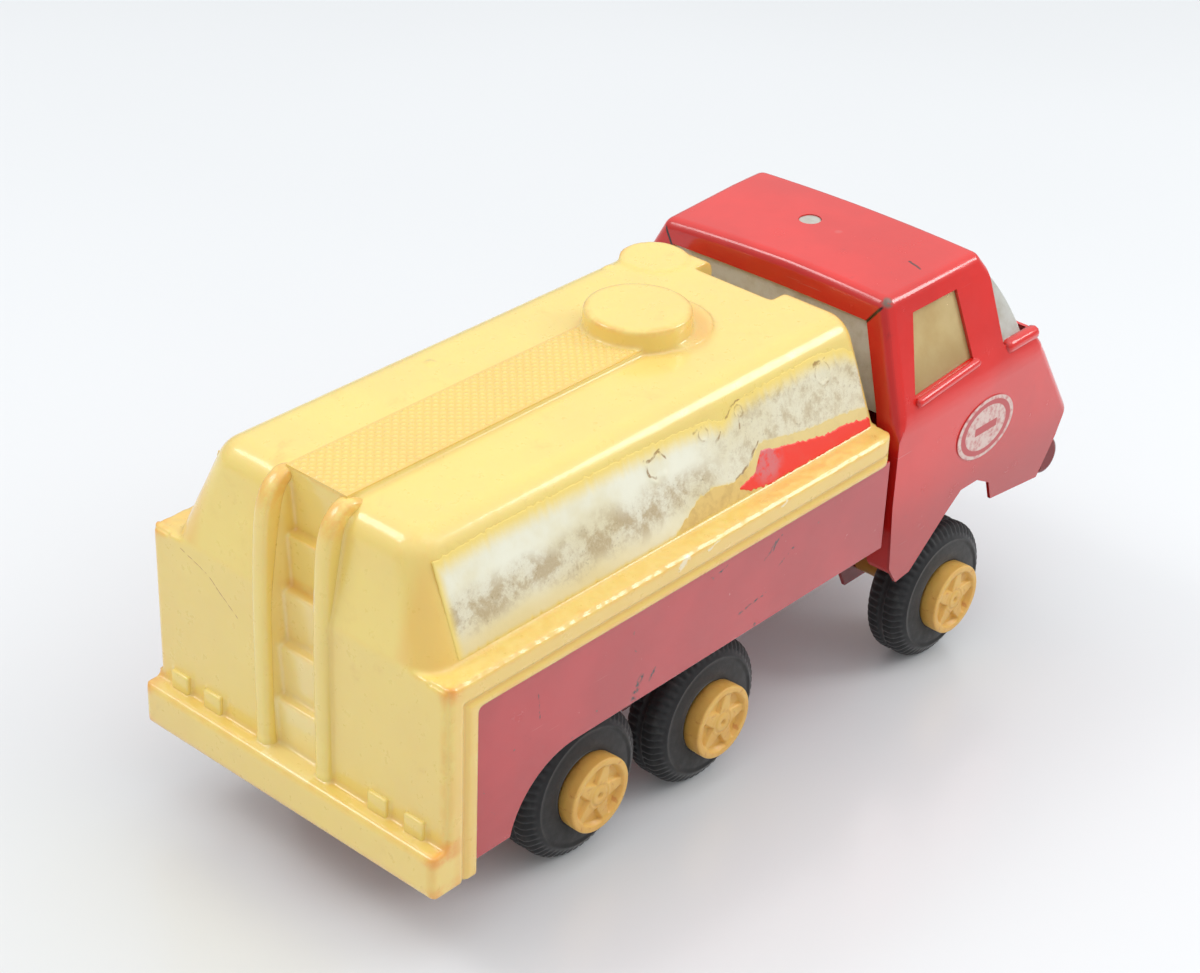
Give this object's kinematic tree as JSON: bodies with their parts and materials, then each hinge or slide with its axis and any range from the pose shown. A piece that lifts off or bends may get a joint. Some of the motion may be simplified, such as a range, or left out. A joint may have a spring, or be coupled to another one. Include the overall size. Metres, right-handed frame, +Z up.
{
  "type": "toy tanker truck",
  "caption": "Pressed-steel cab-over toy truck with a hollow plastic tank body, ladder, hatch and side labels, on free-rolling axles with rubber-tyred plastic wheels.",
  "frame": {"origin": "bottom centre of the whole truck's box, on the surface that the six tyres stand on", "axes": "+X towards the cab's nose, +Y to the truck's left, +Z up"},
  "size_m": [0.2182, 0.0894, 0.1015],
  "materials": {
    "tank_plastic": "satin moulded yellow plastic, worn edges",
    "label_paper": "torn white paper label with a red stripe and dirt",
    "pan_paint": "satin dark red stoving paint, scratched",
    "chassis_paint": "satin red paint",
    "bumper_paint": "gloss dark red paint",
    "cab_paint": "gloss red stoving paint",
    "clear_plastic": "clear plastic, yellowed",
    "badge_print": "white printed oval",
    "foil_label": "silver foil with a plain grille pattern",
    "rivet_steel": "plain steel",
    "axle_steel": "plain steel wire",
    "tyre_rubber": "matt black rubber, ribbed",
    "hub_plastic": "moulded golden-yellow plastic"
  },
  "bodies": {
    "truck": {"tank_body": "tank_plastic", "right_side_label": "label_paper", "left_side_label": "label_paper", "bed_pan": "pan_paint", "chassis_frame": "chassis_paint", "rear_axle_bracket": "chassis_paint", "front_axle_bracket": "chassis_paint", "front_bumper": "bumper_paint", "cab_shell": "cab_paint", "cab_glazing": "clear_plastic", "cab_floor": "chassis_paint", "right_door_badge": "badge_print", "left_door_badge": "badge_print", "nose_label": "foil_label", "bed_rivets": "rivet_steel", "cab_rivets": "rivet_steel", "tank_screws": "rivet_steel"},
    "front_wheelset": {"front_axle": "axle_steel", "front_right_tyre": "tyre_rubber", "front_right_hub": "hub_plastic", "front_left_tyre": "tyre_rubber", "front_left_hub": "hub_plastic"},
    "middle_wheelset": {"middle_axle": "axle_steel", "middle_right_tyre": "tyre_rubber", "middle_right_hub": "hub_plastic", "middle_left_tyre": "tyre_rubber", "middle_left_hub": "hub_plastic"},
    "rear_wheelset": {"rear_axle": "axle_steel", "rear_right_tyre": "tyre_rubber", "rear_right_hub": "hub_plastic", "rear_left_tyre": "tyre_rubber", "rear_left_hub": "hub_plastic"}
  },
  "joints": [
    {"name": "front_wheels_roll", "type": "hinge", "parent": "truck", "child": "front_wheelset", "pos_m": [0.06642, 0, 0.0175], "axis": [0, 1, 0], "continuous": true},
    {"name": "middle_wheels_roll", "type": "hinge", "parent": "truck", "child": "middle_wheelset", "pos_m": [-0.01618, 0, 0.0175], "axis": [0, 1, 0], "continuous": true},
    {"name": "rear_wheels_roll", "type": "hinge", "parent": "truck", "child": "rear_wheelset", "pos_m": [-0.05663, 0, 0.0175], "axis": [0, 1, 0], "continuous": true}
  ]
}
